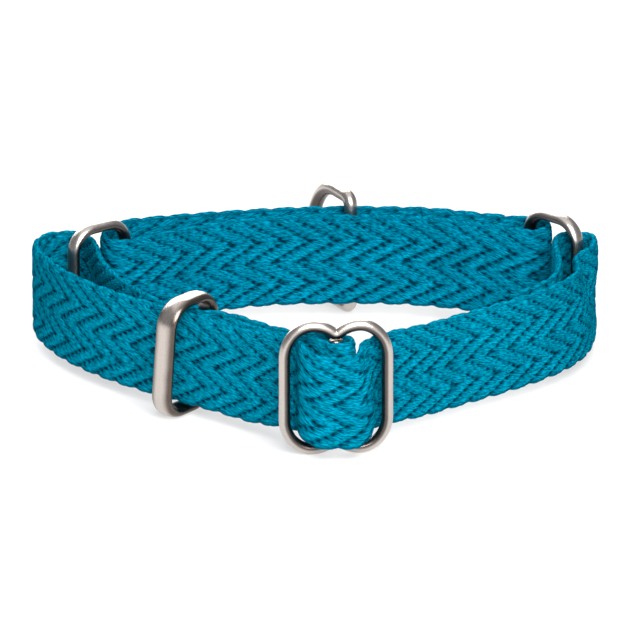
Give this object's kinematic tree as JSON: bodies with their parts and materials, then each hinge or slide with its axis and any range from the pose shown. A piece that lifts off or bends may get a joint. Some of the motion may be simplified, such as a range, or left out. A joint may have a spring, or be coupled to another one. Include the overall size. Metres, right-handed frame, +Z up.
{
  "type": "martingale collar",
  "caption": "Woven martingale dog collar standing on edge: adjustable strap with wire slide and keeper, two end rings, closed control loop and leash D-ring.",
  "frame": {"origin": "middle of the collar's plan, on the floor it stands on", "axes": "+X to the right of the slide as seen from the front, +Y from the slide towards the leash ring, +Z up across the webbing's width"},
  "size_m": [0.1512, 0.1334, 0.0364],
  "materials": {
    "main_strap": "herringbone nylon webbing, soft filament sheen",
    "control_loop_strap": "herringbone nylon webbing, soft filament sheen",
    "slide_frame": "satin nickel plate",
    "slide_centre_bar": "satin nickel plate",
    "keeper_ring": "satin nickel plate",
    "left_end_ring": "satin nickel plate",
    "right_end_ring": "satin nickel plate",
    "leash_dring": "satin nickel plate",
    "right_fold_needle_thread": "twisted nylon sewing thread",
    "right_fold_bobbin_thread": "twisted nylon sewing thread",
    "slide_end_needle_thread": "twisted nylon sewing thread",
    "slide_end_bobbin_thread": "twisted nylon sewing thread",
    "loop_lap_needle_thread": "twisted nylon sewing thread",
    "loop_lap_bobbin_thread": "twisted nylon sewing thread"
  },
  "bodies": {
    "straps": {"main_strap": "main_strap", "control_loop_strap": "control_loop_strap", "right_fold_needle_thread": "right_fold_needle_thread", "right_fold_bobbin_thread": "right_fold_bobbin_thread", "slide_end_needle_thread": "slide_end_needle_thread", "slide_end_bobbin_thread": "slide_end_bobbin_thread", "loop_lap_needle_thread": "loop_lap_needle_thread", "loop_lap_bobbin_thread": "loop_lap_bobbin_thread"},
    "slide": {"slide_frame": "slide_frame", "slide_centre_bar": "slide_centre_bar"},
    "keeper": {"keeper_ring": "keeper_ring"},
    "left_ring": {"left_end_ring": "left_end_ring"},
    "right_ring": {"right_end_ring": "right_end_ring"},
    "dring": {"leash_dring": "leash_dring"}
  },
  "joints": [
    {"name": "slide_rock", "type": "hinge", "parent": "straps", "child": "slide", "pos_m": [0.00515, -0.0591, 0.0182], "axis": [0, 0, 1], "range_deg": [-2, 1.5]},
    {"name": "keeper_travel", "type": "slide", "parent": "straps", "child": "keeper", "axis": [0.7844, -0.6203, 0], "range_m": [-0.012, 0.004]},
    {"name": "left_ring_swing", "type": "hinge", "parent": "straps", "child": "left_ring", "pos_m": [-0.05081, 0.02741, 0.01735], "axis": [0, 0, 1], "range_deg": [-20, 2]},
    {"name": "right_ring_swing", "type": "hinge", "parent": "straps", "child": "right_ring", "pos_m": [0.05713, 0.03576, 0.01735], "axis": [0, 0, 1], "range_deg": [-3, 5]},
    {"name": "dring_swing", "type": "hinge", "parent": "straps", "child": "dring", "pos_m": [0.00935, 0.0461, 0.0174], "axis": [0, 0, 1], "range_deg": [-85, 25]}
  ]
}
